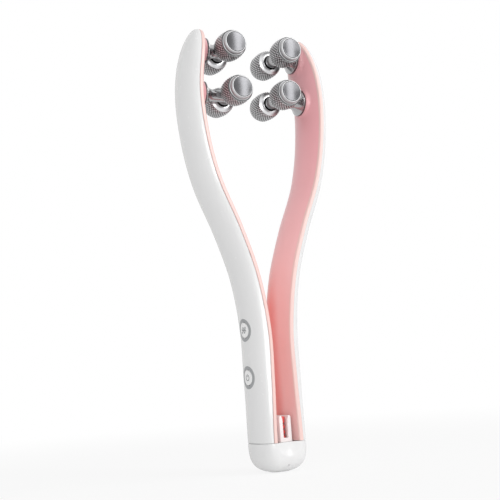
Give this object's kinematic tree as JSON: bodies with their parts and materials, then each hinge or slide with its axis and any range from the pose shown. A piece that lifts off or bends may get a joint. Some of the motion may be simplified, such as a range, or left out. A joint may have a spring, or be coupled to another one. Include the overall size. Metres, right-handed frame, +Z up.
{
  "type": "microcurrent face roller",
  "caption": "Handheld microcurrent face roller: two sprung arms carry barrel rollers on fixed cross heads, with press buttons, a sliding tension fork and a charging inlet in the base cap",
  "frame": {"origin": "middle of the base cap's flat underside", "axes": "+Z runs up the handle to the rollers, +X to the arm on the right of the picture, -Y to the front, so the roller axles lie along Y"},
  "size_m": [0.0736, 0.0318, 0.1991],
  "materials": {
    "gloss_white": "gloss white moulding",
    "satin_pink": "satin pink moulding",
    "coral_red": "coral red moulding",
    "knurled_chrome": "chromed, finely knurled on the barrels",
    "polished_chrome": "polished chrome",
    "plain_steel": "plain steel",
    "dark_gasket": "dark elastomer",
    "grey_trim": "grey trim ring",
    "grey_lens": "grey lens",
    "green_board": "glass fibre board",
    "black_switch": "black switch body",
    "battery_wrap": "foil wrapped cell"
  },
  "bodies": {
    "base": {"base_cap": "gloss_white", "charge_lamp": "grey_lens", "charging_port": "plain_steel", "flex_spring": "plain_steel", "detent_rack": "coral_red"},
    "slider": {"tension_slider": "gloss_white"},
    "left_arm": {"left_outer_shell": "gloss_white", "left_inner_panel": "satin_pink", "circuit_board": "green_board", "mode_button_ring": "grey_trim", "power_button_ring": "grey_trim", "mode_switch": "black_switch", "power_switch": "black_switch", "left_upper_stem": "knurled_chrome", "left_upper_gasket": "dark_gasket", "left_upper_nut": "plain_steel", "left_upper_axle": "plain_steel", "left_lower_stem": "knurled_chrome", "left_lower_gasket": "dark_gasket", "left_lower_nut": "plain_steel", "left_lower_axle": "plain_steel"},
    "right_arm": {"right_outer_shell": "gloss_white", "right_inner_panel": "satin_pink", "battery_cell": "battery_wrap", "right_upper_stem": "knurled_chrome", "right_upper_gasket": "dark_gasket", "right_upper_nut": "plain_steel", "right_upper_axle": "plain_steel", "right_lower_stem": "knurled_chrome", "right_lower_gasket": "dark_gasket", "right_lower_nut": "plain_steel", "right_lower_axle": "plain_steel"},
    "mode_key": {"mode_button": "gloss_white"},
    "power_key": {"power_button": "gloss_white"},
    "left_upper_front_wheel": {"left_upper_front_roller": "knurled_chrome", "left_upper_front_end_cap": "polished_chrome"},
    "left_upper_back_wheel": {"left_upper_back_roller": "knurled_chrome", "left_upper_back_end_cap": "polished_chrome"},
    "left_lower_front_wheel": {"left_lower_front_roller": "knurled_chrome", "left_lower_front_end_cap": "polished_chrome"},
    "left_lower_back_wheel": {"left_lower_back_roller": "knurled_chrome", "left_lower_back_end_cap": "polished_chrome"},
    "right_upper_front_wheel": {"right_upper_front_roller": "knurled_chrome", "right_upper_front_end_cap": "polished_chrome"},
    "right_upper_back_wheel": {"right_upper_back_roller": "knurled_chrome", "right_upper_back_end_cap": "polished_chrome"},
    "right_lower_front_wheel": {"right_lower_front_roller": "knurled_chrome", "right_lower_front_end_cap": "polished_chrome"},
    "right_lower_back_wheel": {"right_lower_back_roller": "knurled_chrome", "right_lower_back_end_cap": "polished_chrome"}
  },
  "joints": [
    {"name": "left_arm_flex", "type": "hinge", "parent": "base", "child": "left_arm", "pos_m": [-0.0084, 0, 0.0126], "axis": [0, -1, 0], "range_deg": [-1.6, 3.5], "stiffness_Nm_per_rad": 12},
    {"name": "right_arm_flex", "type": "hinge", "parent": "base", "child": "right_arm", "pos_m": [0.0084, 0, 0.0126], "axis": [0, 1, 0], "range_deg": [-1.6, 3.5], "stiffness_Nm_per_rad": 12},
    {"name": "tension_slide", "type": "slide", "parent": "base", "child": "slider", "axis": [0, 0, 1], "range_m": [0, 0.0046]},
    {"name": "mode_press", "type": "slide", "parent": "left_arm", "child": "mode_key", "axis": [1, 0, 0], "range_m": [0, 0.0005], "stiffness_N_per_m": 4000},
    {"name": "power_press", "type": "slide", "parent": "left_arm", "child": "power_key", "axis": [1, 0, 0], "range_m": [0, 0.0005], "stiffness_N_per_m": 4000},
    {"name": "left_upper_front_spin", "type": "hinge", "parent": "left_arm", "child": "left_upper_front_wheel", "pos_m": [-0.01435, -0.0106, 0.1895], "axis": [0, 1, 0], "continuous": true},
    {"name": "left_upper_back_spin", "type": "hinge", "parent": "left_arm", "child": "left_upper_back_wheel", "pos_m": [-0.01435, 0.0106, 0.1895], "axis": [0, 1, 0], "continuous": true},
    {"name": "left_lower_front_spin", "type": "hinge", "parent": "left_arm", "child": "left_lower_front_wheel", "pos_m": [-0.01256, -0.0106, 0.1689], "axis": [0, 1, 0], "continuous": true},
    {"name": "left_lower_back_spin", "type": "hinge", "parent": "left_arm", "child": "left_lower_back_wheel", "pos_m": [-0.01256, 0.0106, 0.1689], "axis": [0, 1, 0], "continuous": true},
    {"name": "right_upper_front_spin", "type": "hinge", "parent": "right_arm", "child": "right_upper_front_wheel", "pos_m": [0.01435, -0.0106, 0.1895], "axis": [0, 1, 0], "continuous": true},
    {"name": "right_upper_back_spin", "type": "hinge", "parent": "right_arm", "child": "right_upper_back_wheel", "pos_m": [0.01435, 0.0106, 0.1895], "axis": [0, 1, 0], "continuous": true},
    {"name": "right_lower_front_spin", "type": "hinge", "parent": "right_arm", "child": "right_lower_front_wheel", "pos_m": [0.01256, -0.0106, 0.1689], "axis": [0, 1, 0], "continuous": true},
    {"name": "right_lower_back_spin", "type": "hinge", "parent": "right_arm", "child": "right_lower_back_wheel", "pos_m": [0.01256, 0.0106, 0.1689], "axis": [0, 1, 0], "continuous": true}
  ]
}
